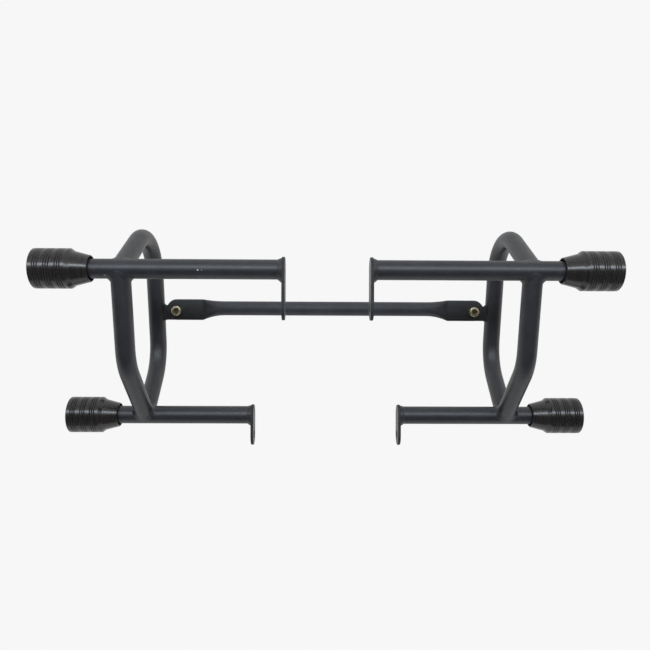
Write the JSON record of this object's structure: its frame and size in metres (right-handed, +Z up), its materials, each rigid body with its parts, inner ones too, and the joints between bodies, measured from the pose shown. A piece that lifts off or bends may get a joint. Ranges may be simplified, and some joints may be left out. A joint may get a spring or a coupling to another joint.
{
  "type": "motorcycle crash bars",
  "caption": "Pair of black welded tube crash bars with turned end sliders and inner mount plates, joined by a bolted cross brace with pressed flat ends.",
  "frame": {"origin": "midway between the two upper bolt holes, on their common axis", "axes": "+X to the right-hand frame along the upper bolt holes' axis, +Y from the upper cross tubes towards the brace, +Z up"},
  "size_m": [0.6444, 0.2002, 0.2711],
  "materials": {
    "black_coat": "satin black powder coat",
    "black_anodised": "black anodised, turned, semi-gloss",
    "plated_steel": "yellow zinc plate",
    "bare_steel": "turned"
  },
  "bodies": {
    "root": {"cross_brace": "black_coat", "left_brace_lug": "black_coat", "left_brace_nut": "plated_steel", "left_brace_screw": "plated_steel", "left_brace_washer": "plated_steel", "left_hoop": "black_coat", "left_lower_cross_tube": "black_coat", "left_lower_mount_plate": "black_coat", "left_lower_plate_weld": "black_coat", "left_lower_slider": "black_anodised", "left_lower_slider_boss": "bare_steel", "left_lower_slider_screw": "plated_steel", "left_lower_slider_washer": "plated_steel", "left_upper_cross_tube": "black_coat", "left_upper_mount_plate": "black_coat", "left_upper_plate_weld": "black_coat", "left_upper_slider": "black_anodised", "left_upper_slider_boss": "bare_steel", "left_upper_slider_screw": "plated_steel", "left_upper_slider_washer": "plated_steel", "left_upright": "black_coat", "right_brace_lug": "black_coat", "right_brace_nut": "plated_steel", "right_brace_screw": "plated_steel", "right_brace_washer": "plated_steel", "right_hoop": "black_coat", "right_lower_cross_tube": "black_coat", "right_lower_mount_plate": "black_coat", "right_lower_plate_weld": "black_coat", "right_lower_slider": "black_anodised", "right_lower_slider_boss": "bare_steel", "right_lower_slider_screw": "plated_steel", "right_lower_slider_washer": "plated_steel", "right_upper_cross_tube": "black_coat", "right_upper_mount_plate": "black_coat", "right_upper_plate_weld": "black_coat", "right_upper_slider": "black_anodised", "right_upper_slider_boss": "bare_steel", "right_upper_slider_screw": "plated_steel", "right_upper_slider_washer": "plated_steel", "right_upright": "black_coat"}
  },
  "joints": []
}
